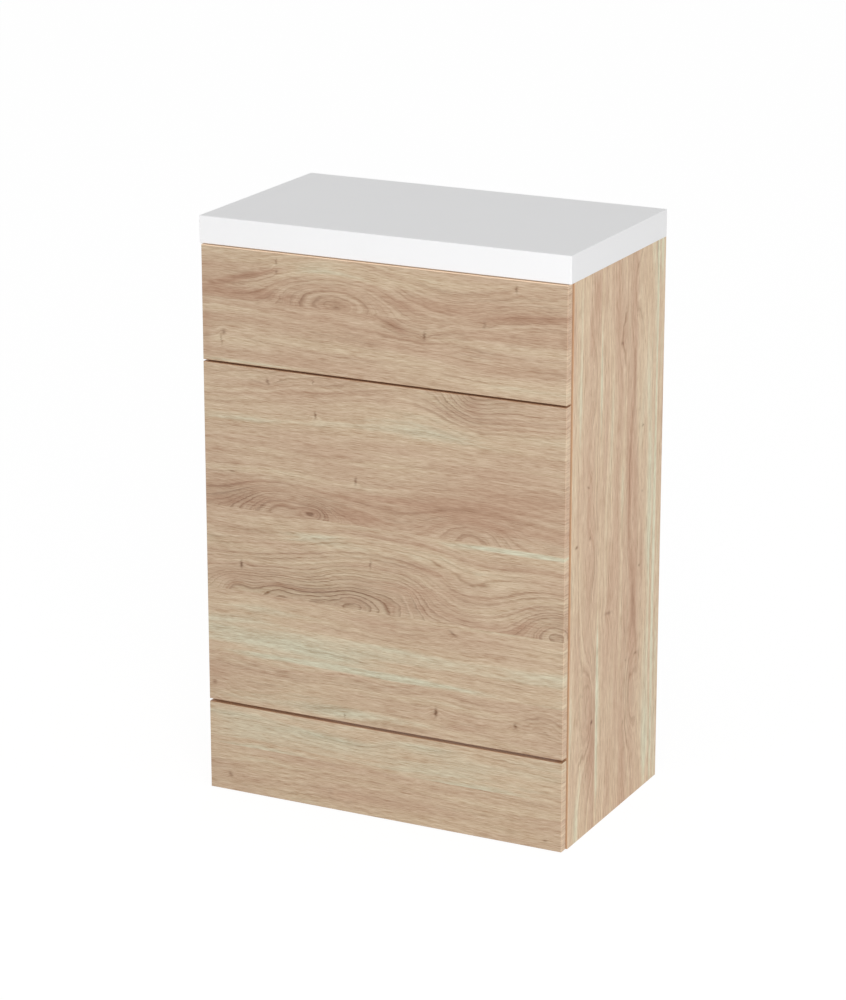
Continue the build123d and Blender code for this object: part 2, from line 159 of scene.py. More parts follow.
class FittingSettings(bpy.types.PropertyGroup):
    """Colours of the worktop and the fittings."""

    worktop: bpy.props.FloatVectorProperty(
        name="Worktop", description="Colour of the cast worktop", size=3, default=(0.955, 0.955, 0.958),
        min=0.0, max=1.0, subtype="COLOR_GAMMA")
    zinc: bpy.props.FloatVectorProperty(
        name="Cam zinc", description="Colour of the die-cast cams and bolts", size=3,
        default=(0.66, 0.67, 0.68), min=0.0, max=1.0, subtype="COLOR_GAMMA")
    screw: bpy.props.FloatVectorProperty(
        name="Screws", description="Colour of the plated screws", size=3, default=(0.80, 0.79, 0.74),
        min=0.0, max=1.0, subtype="COLOR_GAMMA")
    bracket: bpy.props.FloatVectorProperty(
        name="Brackets", description="Colour of the plated wall brackets", size=3,
        default=(0.76, 0.77, 0.79), min=0.0, max=1.0, subtype="COLOR_GAMMA")
    clip: bpy.props.FloatVectorProperty(
        name="Clips", description="Colour of the nylon clips", size=3, default=(0.90, 0.90, 0.87),
        min=0.0, max=1.0, subtype="COLOR_GAMMA")
    cap: bpy.props.FloatVectorProperty(
        name="Cover caps", description="Colour of the cover caps", size=3, default=(0.76, 0.65, 0.52),
        min=0.0, max=1.0, subtype="COLOR_GAMMA")
    beech: bpy.props.FloatVectorProperty(
        name="Dowels", description="Colour of the beech dowels", size=3, default=(0.85, 0.70, 0.53),
        min=0.0, max=1.0, subtype="COLOR_GAMMA")
    buffer: bpy.props.FloatVectorProperty(
        name="Buffers", description="Colour of the clear buffers", size=3, default=(0.86, 0.88, 0.88),
        min=0.0, max=1.0, subtype="COLOR_GAMMA")
    chipboard: bpy.props.FloatVectorProperty(
        name="Chipboard", description="Colour of the bare board", size=3, default=(0.74, 0.61, 0.45),
        min=0.0, max=1.0, subtype="COLOR_GAMMA")


# Node trees

PALEST = 0.97
WHITE = (1.0, 1.0, 1.0, 1.0)


def linear(colour):
    """A colour as the shader takes it, from one as a screen shows it."""
    return [((c + 0.055) / 1.055) ** 2.4 if c > 0.04045 else c / 12.92 for c in colour]


def rgba(colour, gain=1.0):
    """A shader colour, made paler by a gain but never quite white."""
    return (*[min(c * gain, PALEST) for c in linear(colour)], 1.0)


def uneven(graph, share, colour, low, high):
    """A colour that drifts between a darker and a paler tint of itself."""
    return graph.mix(share, rgba(colour, low), rgba(colour, high))


class Graph:
    """The node tree of a material or a world. Each call adds a node and gives back its output."""

    def __init__(self, owner):
        owner.use_nodes = True
        self.owner = owner
        self.tree = owner.node_tree
        self.tree.nodes.clear()

    def feed(self, socket, value):
        if isinstance(value, bpy.types.NodeSocket):
            self.tree.links.new(value, socket)
        else:
            socket.default_value = value

    def node(self, kind, inputs=(), **settings):
        node = self.tree.nodes.new(kind)
        for name, value in settings.items():
            setattr(node, name, value)
        for key, value in dict(inputs).items():
            self.feed(node.inputs[key], value)
        return node

    def math(self, operation, *values, clamp=False):
        inputs = dict(enumerate(values))
        return self.node("ShaderNodeMath", inputs, operation=operation, use_clamp=clamp).outputs[0]

    def vector(self, operation, *values):
        node = self.node("ShaderNodeVectorMath", dict(enumerate(values)), operation=operation)
        return node.outputs["Value" if operation in ("DOT_PRODUCT", "LENGTH") else "Vector"]

    def scaled_sum(self, value, factor, start):
        """start + value * factor"""
        return self.math("MULTIPLY_ADD", value, factor, start)

    def combine(self, x=0.0, y=0.0, z=0.0):
        """A vector of three numbers."""
        return self.node("ShaderNodeCombineXYZ", {"X": x, "Y": y, "Z": z}).outputs[0]

    def separate(self, vector):
        """The three numbers of a vector."""
        return self.node("ShaderNodeSeparateXYZ", {0: vector}).outputs

    def noise(self, vector, detail=2.0, roughness=0.5):
        """Smooth noise on a plane, centred on zero."""
        inputs = {"Vector": vector, "Scale": 1.0, "Detail": detail, "Roughness": roughness}
        field = self.node("ShaderNodeTexNoise", inputs, noise_dimensions="2D")
        return self.math("SUBTRACT", field.outputs[0], 0.5)

    def cloud(self, vector, scale, detail=2.0):
        """Smooth noise in space, from 0 to 1."""
        inputs = {"Vector": vector, "Scale": scale, "Detail": detail}
        return self.node("ShaderNodeTexNoise", inputs).outputs[0]

    def noise_along(self, value, detail=1.0):
        """Smooth noise of one number, centred on zero."""
        field = self.node("ShaderNodeTexNoise", {"W": value, "Scale": 1.0, "Detail": detail},
                          noise_dimensions="1D")
        return self.math("SUBTRACT", field.outputs[0], 0.5)

    def wave(self, point, wave, seed):
        """Noise in patches as long and as wide as the wave is."""
        size = (1.0 / wave.length, 1.0 / wave.width, 1.0)
        shift = seed + wave.shift
        place = self.vector("MULTIPLY_ADD", point, size, (shift, shift, 0.0))
        return self.noise(place, wave.detail, wave.roughness)

    def weighted(self, fields, shares, start=0.0):
        """start plus each named field times its share."""
        for name, share in shares.items():
            start = self.scaled_sum(fields[name], share, start)
        return start

    def step(self, value, low, high, to_low=0.0, to_high=1.0):
        """A smooth step from to_low to to_high as the value goes from low to high."""
        inputs = {"Value": value, "From Min": low, "From Max": high, "To Min": to_low, "To Max": to_high}
        return self.node("ShaderNodeMapRange", inputs, interpolation_type="SMOOTHSTEP").outputs[0]

    def ramp(self, value, stops):
        """A colour for each value, by its place between the stops."""
        node = self.node("ShaderNodeValToRGB", {0: value})
        elements = node.color_ramp.elements
        while len(elements) < len(stops):
            elements.new(1.0)
        for element, (place, colour) in zip(elements, stops):
            element.position = place
            element.color = colour
        return node.outputs[0]

    def mix(self, share, first, second):
        """The first colour, with a share of the second in its stead."""
        node = self.node("ShaderNodeMix", {0: share, 6: first, 7: second}, data_type="RGBA")
        return node.outputs[2]

    def stained(self, amount, colour, stain):
        """A colour darkened by a share of a stain."""
        node = self.node("ShaderNodeMix", {0: amount, 6: colour, 7: stain}, data_type="RGBA",
                         blend_type="MULTIPLY")
        return node.outputs[2]

    def place(self):
        """Where the surface is, in millimetres of the unit's own frame."""
        coordinates = self.node("ShaderNodeTexCoord").outputs
        return self.vector("MULTIPLY", coordinates["Object"], (1.0 / MM, 1.0 / MM, 1.0 / MM))

    def facing(self):
        """How squarely the surface faces along each axis, either way."""
        normal = self.node("ShaderNodeTexCoord").outputs["Normal"]
        return self.separate(self.vector("ABSOLUTE", normal))

    def finish(self, shader, output="ShaderNodeOutputMaterial"):
        """Ends the tree with its output, and gives back what the tree belongs to."""
        self.node(output, {"Surface": shader})
        return self.owner

    def surface(self, colour, roughness, **inputs):
        """The finished surface. Further inputs are named as the shader's own."""
        shader = self.node("ShaderNodeBsdfPrincipled", {"Base Color": colour, "Roughness": roughness})
        for name, value in inputs.items():
            self.feed(shader.inputs[name.replace("_", " ")], value)
        return self.finish(shader.outputs[0])

    def relief(self, height, depth, strength=1.0):
        """A bump normal, for a height field whose unit is so many millimetres."""
        inputs = {"Height": height, "Strength": strength, "Distance": depth * MM}
        return self.node("ShaderNodeBump", inputs).outputs[0]


# The oak decor. It is printed as staves side by side, and each stave has its own figure.
# A spot is a soft oval in the pattern: along the grain, across it, half its length and width, its turn in
# degrees and its amount. Places are in millimetres of the unit's own frame.

Spot = namedtuple("Spot", "stave along across half_length half_width turn amount")
Decor = namedtuple("Decor", "joints tones lifts figures patches knots contrast seed")

STAVE_STEP = 2000.0
INVERSE_E = math.exp(-1.0)
MIDDLE_TONE = 0.60

# The waves of the pattern: how long and wide they are, in millimetres, and how their noise is made

Wave = namedtuple("Wave", "length width shift detail roughness")

WAVES = {
    "fibre": Wave(26.0, 0.84, 0.0, 2.0, 0.7),
    "thread": Wave(30.0, 1.6, 3.0, 1.0, 0.5),
    "broad": Wave(240.0, 30.0, 11.0, 1.0, 0.5),
    "drift": Wave(260.0, 60.0, 17.0, 1.0, 0.5),
    "ripple": Wave(60.0, 20.0, 23.0, 1.0, 0.5),
    "wiggle": Wave(14.0, 9.0, 29.0, 1.0, 0.5),
    "pore": Wave(13.0, 1.25, 31.0, 1.0, 0.5),
}
PORE_EDGE = (0.10, 0.24)
BAND_WIDTH = 15.0
STREAK_LENGTH = 150.0
STREAK_WIDTH = 5.0

# How far the waves bend the growth rings, and move the knots' outlines, in millimetres
RING_BEND = {"drift": 18.0, "ripple": 6.0, "wiggle": 3.4}
RING_SLIDE = {"thread": 4.0}
KNOT_SLIDE = {"thread": 5.0}
KNOT_RISE = {"ripple": 3.0}

# The rings' strength where a stave has no figure, the least it may be, and what the waves add to it
PLAIN_STRENGTH = 0.26
LEAST_STRENGTH = 0.10
RING_STRENGTH = {"broad": 0.6, "ripple": 1.0}

# Each ring darkens from one share of its width to the next, and then ends at once.
WIDE_RING = 9.5
NARROW_RING = 3.3
NARROW_RING_SHIFT = 0.9
RING_DARKENS = (0.50, 0.84)
RING_LINE = 0.75
RING_SLOPE = 0.35
FAINTEST_RING = 0.3
RING_WANDER = 2.4
RINGS_IN_A_WANDER = 5.0

# How much each field counts in the soft tone, the figure, its rings, the smoke and the relief
TONE_SHARES = {"broad": 0.36, "bands": 0.24}
FIGURE_SHARES = {"streak": 0.32, "bands": 0.14}
PORE_SHARES = {"pore": -0.05}
RING_SHARES = {"narrow": 0.26}
WIDE_RING_SHARE = 0.5
KNOT_SHARES = {"knots": 0.5}
SMOKE_SHARES = {"wide": 0.24, "knots": -1.2}
SMOKE_PER_STRENGTH = 0.10
SMOKE_START = -0.04
RELIEF_SHARES = {"pore": -0.6}

# Where each colour of the wood lies on the soft tone, and how much stain the figure gives
TONE_STOPS = {"dark": 0.0, "brown": 0.32, "middle": 0.58, "light": 0.74, "cream": 0.95}
STAIN_PER_FIGURE = -1.2
STAIN_START = 0.24


def stave_point(graph, along, across, joints):
    """The pattern point, with each stave moved far from its neighbours so that no feature crosses a joint.
    Its third number is always one, so that a dot product can hold an offset."""
    moved = across
    for joint in joints:
        below = graph.math("LESS_THAN", across, joint)
        moved = graph.scaled_sum(below, -STAVE_STEP, moved)
    return graph.combine(along, moved, 1.0)


def add_spots(graph, point, spots, start):
    """start plus each spot's amount, which fades out from its middle."""
    total = start
    for spot in spots:
        along, across = spot.along, spot.across - STAVE_STEP * spot.stave
        cosine, sine = math.cos(math.radians(spot.turn)), math.sin(math.radians(spot.turn))
        if spot.turn:
            length_form = Vector((cosine, sine, -along * cosine - across * sine)) / spot.half_length
            width_form = Vector((-sine, cosine, along * sine - across * cosine)) / spot.half_width
            far = graph.vector("DOT_PRODUCT", point, length_form)
            wide = graph.vector("DOT_PRODUCT", point, width_form)
            distance = graph.math("MULTIPLY_ADD", wide, wide, graph.math("MULTIPLY", far, far))
        else:
            size = (1.0 / spot.half_length, 1.0 / spot.half_width, 0.0)
            middle = (-along / spot.half_length, -across / spot.half_width, 0.0)
            oval = graph.vector("MULTIPLY_ADD", point, size, middle)
            distance = graph.vector("DOT_PRODUCT", oval, oval)
        fade = graph.math("POWER", INVERSE_E, distance)
        total = graph.scaled_sum(fade, spot.amount, total)
    return total


def stave_tones(graph, across, decor):
    """How much paler or darker each stave is."""
    total = decor.tones[0]
    for joint, above, below in zip(decor.joints, decor.tones, decor.tones[1:]):
        total = graph.scaled_sum(graph.math("LESS_THAN", across, joint), below - above, total)
    return total


def growth_rings(graph, height, ring_width):
    """Dark lines along the levels of a height field, some bold and some faint."""
    wander = graph.noise_along(graph.math("DIVIDE", height, RINGS_IN_A_WANDER * ring_width))
    count = graph.scaled_sum(wander, RING_WANDER, graph.math("DIVIDE", height, ring_width))
    phase = graph.math("FRACT", count)
    number = graph.math("FLOOR", count)
    boldness = graph.node("ShaderNodeTexWhiteNoise", {"W": number}, noise_dimensions="1D").outputs[0]
    boldness = graph.step(boldness, 0.0, 1.0, FAINTEST_RING, 1.0)
    line = graph.step(phase, *RING_DARKENS)
    line = graph.scaled_sum(phase, RING_SLOPE, graph.math("MULTIPLY", line, RING_LINE))
    fall = graph.step(phase, RING_DARKENS[1], 1.0, 1.0, 0.0)
    return graph.math("MULTIPLY", graph.math("MULTIPLY", line, fall), boldness)


def oak_fields(graph, along, across, decor, oak):
    """The decor's soft tone, the fine figure and the grey smoke over it, and then its relief."""
    point = stave_point(graph, along, across, decor.joints)
    fields = {name: graph.wave(point, wave, decor.seed) for name, wave in WAVES.items()}
    fields["pore"] = graph.step(fields["pore"], *PORE_EDGE)

    slid = graph.vector("ADD", point, graph.combine(graph.weighted(fields, RING_SLIDE)))
    bend = graph.weighted(fields, RING_BEND, graph.separate(point)[1])
    height = add_spots(graph, slid, decor.lifts, bend)
    level = graph.math("MULTIPLY_ADD", height, 1.0 / BAND_WIDTH, decor.seed)
    fields["bands"] = graph.noise_along(level, 2.0)
    flow_along = graph.math("MULTIPLY", along, 1.0 / STREAK_LENGTH)
    flow_across = graph.math("MULTIPLY", height, 1.0 / STREAK_WIDTH)
    fields["streak"] = graph.noise(graph.combine(flow_along, flow_across), 2.0, 0.5)

    strength = add_spots(graph, point, decor.figures, PLAIN_STRENGTH)
    strength = graph.weighted(fields, RING_STRENGTH, strength)
    strength = graph.math("MAXIMUM", strength, LEAST_STRENGTH)
    fields["wide"] = graph.math("MULTIPLY", growth_rings(graph, height, WIDE_RING), strength)
    fields["narrow"] = growth_rings(graph, graph.math("ADD", height, NARROW_RING_SHIFT), NARROW_RING)
    half_wide = graph.math("MULTIPLY", fields["wide"], WIDE_RING_SHARE)
    rings = graph.weighted(fields, RING_SHARES, half_wide)

    rough = graph.combine(graph.weighted(fields, KNOT_SLIDE), graph.weighted(fields, KNOT_RISE))
    fields["knots"] = add_spots(graph, graph.vector("ADD", point, rough), decor.knots, 0.0)

    tone = add_spots(graph, point, decor.patches, stave_tones(graph, across, decor))
    tone = graph.weighted(fields, TONE_SHARES, tone)
    tone = graph.math("MULTIPLY_ADD", tone, decor.contrast, MIDDLE_TONE * (1.0 - decor.contrast))
    figure = graph.math("MULTIPLY", fields["fibre"], oak.fibres)
    figure = graph.weighted(fields, FIGURE_SHARES, figure)
    figure = graph.scaled_sum(rings, -oak.rings, figure)
    figure = graph.weighted(fields, PORE_SHARES, figure)
    figure = graph.weighted(fields, KNOT_SHARES, figure)
    smoke = graph.math("MULTIPLY_ADD", strength, SMOKE_PER_STRENGTH, SMOKE_START)
    smoke = graph.weighted(fields, SMOKE_SHARES, smoke)
    return (tone, figure, smoke), graph.weighted(fields, RELIEF_SHARES, fields["fibre"])


def oak_colour(graph, fields, oak, gain):
    """The soft tone's colour, stained brown by the figure and grey by the smoke."""
    tone, figure, smoke = fields
    stops = [(place, rgba(getattr(oak, name), gain)) for name, place in TONE_STOPS.items()]
    smoked = graph.stained(graph.math("MAXIMUM", smoke, 0.0), graph.ramp(tone, stops), rgba(oak.smoke))
    amount = graph.math("MULTIPLY_ADD", figure, STAIN_PER_FIGURE, STAIN_START, clamp=True)
    return graph.stained(amount, smoked, rgba(oak.stain))


def chipboard_colour(graph, place, fittings):
    """Pressed chips: pale and dark flakes a few millimetres across."""
    flakes = graph.node("ShaderNodeTexVoronoi", {"Vector": place, "Scale": 0.45, "Randomness": 1.0})
    shade = graph.separate(flakes.outputs["Color"])[0]
    return uneven(graph, shade, fittings.chipboard, 0.62, 1.22)


def paint(nodes, material):
    """Gives a finish to nodes of the unit, through their own material slots."""
    for name in nodes:
        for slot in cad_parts[name].material_slots:
            slot.material = material


def spots(stave, *rows):
    """The spots of one stave."""
    return [Spot(stave, *row) for row in rows]


# The front decor: grain across the unit, nine staves from the worktop down

FRONT_JOINTS = (786.0, CENTRE_PANEL_TOP + 1.5, 578.7, 461.2, 329.6, 225.1, PLINTH_TOP + 2.0, 76.9)
FRONT_TONES = (0.595, 0.59, 0.63, 0.54, 0.625, 0.665, 0.635, 0.72, 0.605)

FRONT_LIFTS = [
    *spots(0, (-80, 798, 80, 30, 0, -46), (-75, 836, 110, 60, 0, -36), (300, 800, 170, 60, 0, -24),
           (110, 812, 70, 30, 0, 12), (-171, 842, 7, 7, 0, -5), (218, 848, 10, 6, 0, -5)),
    *spots(1, (62, 792, 46, 28, 0, 30), (72, 763, 9, 7, 0, 9), (-263, 730, 9, 9, 0, -7),
           (300, 740, 320, 90, 0, 22), (-250, 740, 90, 40, 0, -8)),
    *spots(2, (150, 688, 42, 46, 0, 44), (232, 690, 90, 48, 0, 40), (40, 690, 190, 90, 0, -44),
           (-188, 668, 16, 16, 0, 9), (-110, 622, 12, 7, 0, -7), (300, 640, 120, 40, 0, -14)),
    *spots(3, (-168, 472, 70, 36, 0, -70), (-112, 470, 24, 14, 0, -34), (-60, 480, 60, 26, 0, -16),
           (148, 470, 60, 30, 0, -42), (160, 505, 120, 40, 0, -14), (-42, 530, 12, 9, 0, -8)),
    *spots(4, (-250, 336, 34, 26, 0, -38), (-175, 336, 52, 34, 0, -52), (-112, 336, 34, 26, 0, -18),
           (-46, 342, 62, 40, 0, -66), (34, 366, 44, 34, 0, -30), (-20, 420, 150, 70, 0, -26),
           (290, 342, 50, 30, 0, -56), (280, 370, 60, 40, 0, -14), (150, 390, 60, 60, 0, 16),
           (-238, 373, 12, 8, 0, -6), (-18, 404, 10, 7, 0, -5)),
    *spots(5, (119, 315, 16, 8, -20, -8), (-23, 328, 70, 30, 0, 16), (-200, 300, 120, 40, 0, -12)),
    *spots(6, (15, 226, 52, 22, 0, 26), (-150, 228, 70, 26, 0, 24), (270, 205, 46, 26, 0, -26),
           (40, 195, 220, 60, 0, -22), (90, 187, 12, 10, 0, -9), (222, 188, 12, 7, 0, -6),
           (-289, 180, 40, 40, 0, -14)),
    *spots(7, (-70, 120, 120, 30, -12, 16)),
    *spots(8, (-263, 27, 10, 7, 0, -6), (-60, 40, 120, 26, 0, -12)),
]

FRONT_FIGURES = [
    *spots(0, (-68, 808, 90, 44, 0, 0.16), (-132, 800, 30, 26, 0, 0.7), (-215, 800, 80, 30, 0, 0.3),
           (250, 800, 120, 40, 0, 0.25)),
    *spots(1, (30, 770, 40, 16, -14, 0.5)),
    *spots(2, (130, 665, 56, 40, 0, 1.0), (200, 672, 60, 30, 0, 0.4), (-170, 675, 70, 16, 0, 0.5),
           (-40, 672, 50, 14, 0, 0.4)),
    *spots(3, (-235, 474, 70, 34, 0, 1.1), (-110, 472, 40, 20, 0, 1.0), (170, 474, 90, 32, 0, 0.15)),
    *spots(4, (-95, 344, 175, 30, 0, 1.3), (-60, 400, 240, 44, 0, 0.35), (288, 350, 60, 44, 0, 0.9)),
    *spots(5, (-20, 318, 60, 14, 0, 0.1)),
    *spots(6, (20, 214, 70, 14, 0, 0.5), (-190, 205, 90, 22, 0, 0.4), (270, 208, 50, 24, 0, 0.3)),
    *spots(7, (-80, 125, 90, 16, -14, 0.25)),
]

# The dark spots centred at x -285 to -292 are painted shade: they darken the front panels' left end.
FRONT_PATCHES = [
    *spots(0, (-222, 823, 62, 5, 16, -0.30), (-205, 797, 56, 8, 0, -0.16), (-285, 810, 30, 34, 0, -0.06),
           (-90, 846, 140, 14, 0, 0.18), (185, 850, 130, 7, 0, 0.05), (250, 812, 90, 6, 4, -0.12),
           (140, 803, 190, 18, 0, -0.17), (-285, 800, 60, 20, 0, -0.12)),
    *spots(1, (170, 745, 90, 5, -3, -0.16), (28, 772, 18, 6, -30, -0.18), (220, 705, 130, 14, 0, 0.10),
           (-210, 690, 120, 3, 0, 0.26), (-292, 735, 8, 60, 0, -0.12), (-40, 755, 140, 9, -6, -0.08),
           (-180, 762, 120, 20, 0, 0.06), (110, 768, 120, 16, 0, -0.06)),
    *spots(2, (-90, 608, 300, 18, 0, 0.13), (-170, 674, 46, 5, 24, -0.14), (150, 668, 16, 14, 0, -0.14),
           (40, 640, 150, 12, 0, 0.08), (150, 660, 150, 22, 0, -0.07)),
    *spots(3, (160, 522, 160, 28, 0, -0.07), (-20, 486, 240, 18, 0, -0.07), (280, 550, 50, 20, 0, -0.10),
           (55, 508, 95, 5, 0, -0.13), (-180, 548, 130, 24, 0, 0.10), (-112, 470, 22, 9, 0, -0.12),
           (150, 486, 70, 16, 0, -0.08), (-40, 476, 40, 9, 0, -0.10), (-10, 552, 90, 22, 0, 0.12),
           (-220, 480, 90, 22, 0, -0.06)),
    *spots(4, (240, 456, 90, 3.4, 0, 0.44), (130, 452, 60, 6, 0, 0.12), (-160, 348, 70, 8, 0, -0.15),
           (-55, 352, 40, 10, 0, -0.12), (120, 342, 60, 6, -6, -0.10), (235, 345, 24, 9, 28, -0.18),
           (-260, 345, 30, 12, 20, -0.10), (-200, 425, 130, 4, 4, -0.10), (60, 415, 70, 5, -16, -0.10),
           (-100, 434, 80, 20, 0, 0.12), (60, 370, 50, 20, 0, -0.08)),
    *spots(5, (-40, 262, 260, 26, 0, 0.12), (-58, 231, 190, 4, 0, 0.36), (-210, 318, 110, 9, 0, 0.05),
           (-10, 312, 60, 12, 0, -0.08), (80, 306, 100, 20, 0, -0.10), (-210, 300, 100, 22, 0, 0.06),
           (-200, 250, 120, 22, 0, 0.12)),
    *spots(6, (-285, 188, 16, 36, 0, -0.07), (120, 166, 40, 5, 12, -0.12), (0, 160, 300, 14, 0, 0.08),
           (190, 206, 120, 18, 0, -0.09)),
    *spots(7, (-150, 92, 180, 14, 0, 0.07), (-270, 100, 60, 24, 0, 0.08), (90, 92, 140, 12, 0, 0.07),
           (-20, 125, 80, 12, 0, -0.05), (60, 110, 200, 12, 0, 0.04)),
    *spots(8, (-70, 34, 60, 20, 0, -0.10), (220, 58, 100, 16, 0, 0.10), (60, 12, 300, 9, 0, 0.05),
           (-200, 60, 110, 16, 0, 0.12)),
]

FRONT_KNOTS = [
    *spots(0, (-171, 849, 1.6, 4.5, 0, -0.30), (-171, 834, 2.2, 2.2, 0, -0.35),
           (218, 848, 2.0, 5.0, 0, -0.35), (-72, 790, 7, 3, 0, -0.22), (168, 791, 2.5, 6, 0, -0.2)),
    *spots(1, (72, 765, 2.0, 5.5, 0, -0.42), (-262, 733, 3.2, 4.0, 0, -0.36),
           (-266, 721, 1.4, 8.0, 6, -0.26)),
    *spots(2, (-188, 665, 2.4, 4.2, 24, -0.42), (-112, 673, 1.4, 3.2, 0, -0.34),
           (-109, 622, 1.9, 5.0, 0, -0.46)),
    *spots(3, (-42, 530, 2.2, 5.6, -8, -0.40), (-251, 518, 5.0, 1.4, 0, -0.25)),
    *spots(4, (-238, 373, 2.2, 5.6, 0, -0.52), (-18, 403, 1.8, 6.0, 0, -0.32)),
    *spots(5, (119, 316, 7.0, 2.2, -38, -0.36)),
    *spots(6, (91, 187, 2.6, 6.4, 0, -0.60), (222, 188, 2.6, 3.2, 0, -0.44),
           (-63, 157, 1.3, 3.2, 0, -0.30), (-289, 175, 4.0, 4.0, 0, -0.26)),
    *spots(8, (-263, 27, 3.0, 5.0, 20, -0.28), (272, 15, 3.6, 1.6, 0, -0.34), (-88, 30, 4, 4, 0, -0.12)),
]

FRONT_DECOR = Decor(
    FRONT_JOINTS, FRONT_TONES, FRONT_LIFTS, FRONT_FIGURES, FRONT_PATCHES, FRONT_KNOTS, contrast=1.25, seed=0.0)

# The right side's decor: grain upright, three staves from the back to the front.
# Along the grain is the height, and across it is the depth.

SIDE_JOINTS = (38.6, -63.7)
SIDE_TONES = (0.60, 0.59, 0.61)

SIDE_LIFTS = [
    *spots(0, (810, 60, 80, 30, 0, 40), (170, 62, 80, 32, 0, 44), (500, 50, 200, 26, 0, 30)),
    *spots(1, (740, 12, 60, 16, 0, 14), (328, -20, 14, 30, 0, 10)),
    *spots(2, (190, -84, 105, 34, 0, -64), (700, -80, 66, 20, 0, -30), (430, -80, 50, 18, 0, -24),
           (545, -92, 22, 18, 0, -14)),
]

SIDE_FIGURES = [
    *spots(0, (820, 66, 60, 34, 0, 0.4), (170, 62, 70, 34, 0, 0.6)),
    *spots(1, (735, 15, 60, 16, 0, 0.1)),
    *spots(2, (190, -84, 120, 40, 0, 0.7), (700, -80, 80, 24, 0, 0.3), (430, -78, 60, 22, 0, 0.4)),
]

SIDE_PATCHES = [
    *spots(0, (560, 52, 140, 12, 0, -0.12), (600, 102, 400, 24, 0, 0.10), (432, 151, 460, 6, 0, 0.34),
           (432, 165, 460, 6, 0, 0.10), (850, 165, 80, 8, 0, 0.14), (20, 165, 80, 8, 0, 0.12),
           (280, 82, 60, 6, -8, -0.22), (690, 68, 70, 6, 0, -0.12), (432, 62, 460, 22, 0, -0.08),
           (300, 47, 70, 12, 0, -0.08), (400, 76, 110, 12, 0, -0.10), (370, 103, 130, 12, 0, -0.14),
           (432, 130, 460, 12, 0, 0.18), (200, 128, 160, 10, 0, 0.08), (520, 76, 120, 10, 0, -0.08),
           (850, 128, 60, 16, 0, 0.12), (60, 128, 70, 16, 0, 0.08)),
    *spots(1, (200, -59, 130, 3.5, 0, 0.34), (740, -58, 120, 5, 0, 0.16), (620, -20, 260, 20, 0, 0.06),
           (470, 14, 120, 16, 0, -0.02), (432, -52, 460, 9, 0, 0.12), (770, 36, 80, 10, 0, -0.10),
           (770, 20, 80, 14, 0, -0.15), (500, 22, 90, 14, 0, 0.08), (60, -40, 70, 20, 0, 0.10)),
    *spots(2, (830, -74, 40, 8, 0, -0.22), (150, -80, 70, 16, 0, -0.12), (700, -140, 400, 18, 0, 0.10),
           (420, -132, 110, 24, 0, -0.06), (590, -101, 60, 9, 0, 0.08), (500, -77, 160, 12, 0, -0.08),
           (20, -140, 60, 30, 0, 0.12)),
]

SIDE_KNOTS = [
    *spots(0, (589, 101, 1.6, 3.6, 0, -0.36), (486, 103, 1.8, 3.4, 0, -0.22), (370, 96, 1.8, 4, 0, -0.32),
           (281, 44, 5, 2, 0, -0.22), (231, 88, 2, 5, 0, -0.32), (231, 49, 2, 2, 0, -0.24),
           (133, 42, 4, 2, 0, -0.26)),
    *spots(1, (735, 18, 2, 5, 0, -0.30), (328, -20, 2.4, 12, 10, -0.30)),
    *spots(2, (545, -100, 1.6, 5, 20, -0.36), (465, -140, 2.0, 4.6, 0, -0.52), (465, -92, 3, 3, 0, -0.32),
           (173, -76, 3, 4, 0, -0.5)),
]

SIDE_DECOR = Decor(
    SIDE_JOINTS, SIDE_TONES, SIDE_LIFTS, SIDE_FIGURES, SIDE_PATCHES, SIDE_KNOTS, contrast=1.55, seed=40.0)

# The left side is cut from another length of the same decor.

LEFT_JOINTS = (70.0, -30.0)
LEFT_TONES = (0.58, 0.61, 0.59)

LEFT_LIFTS = [
    *spots(0, (640, 120, 110, 34, 0, 50), (150, 110, 70, 26, 0, 30)),
    *spots(1, (330, 20, 120, 30, 0, -46), (760, 10, 60, 20, 0, 20)),
    *spots(2, (560, -100, 90, 30, 0, 40), (120, -96, 90, 34, 0, -50)),
]

LEFT_FIGURES = [
    *spots(0, (640, 118, 120, 36, 0, 0.6)),
    *spots(1, (330, 18, 130, 34, 0, 0.7)),
    *spots(2, (120, -96, 100, 36, 0, 0.6)),
]

LEFT_PATCHES = [
    *spots(0, (420, 150, 160, 10, 0, -0.12)),
    *spots(1, (600, 62, 140, 4, 0, 0.26)),
    *spots(2, (700, -60, 150, 12, 0, 0.12), (330, -120, 120, 14, 0, -0.12)),
]

LEFT_KNOTS = [
    *spots(0, (505, 96, 2, 5, 0, -0.45), (250, 140, 2, 4, 10, -0.4)),
    *spots(1, (700, 30, 2, 5, 0, -0.5)),
    *spots(2, (420, -84, 2, 4.6, 0, -0.45), (655, -120, 2.4, 4, 0, -0.4)),
]

LEFT_DECOR = Decor(
    LEFT_JOINTS, LEFT_TONES, LEFT_LIFTS, LEFT_FIGURES, LEFT_PATCHES, LEFT_KNOTS, contrast=1.4, seed=80.0)

# Rails are cut from plain staves.

RAIL_DECOR = Decor((), (MIDDLE_TONE,), [], [], [], [], contrast=1.0, seed=120.0)


# A face of a board shows decor where it is this square to the board's thickness, and chipboard elsewhere.
SQUARE_FACE = 0.6

# How squarely a band has to face a way before it is coloured for that way (paler on the sides, painted gap
# shade up, down and at the front): from and to
FACES_SIDE = (0.3, 0.8)
FACES_FRONT = (0.3, 0.8)
FACES_UP = (0.15, 0.6)

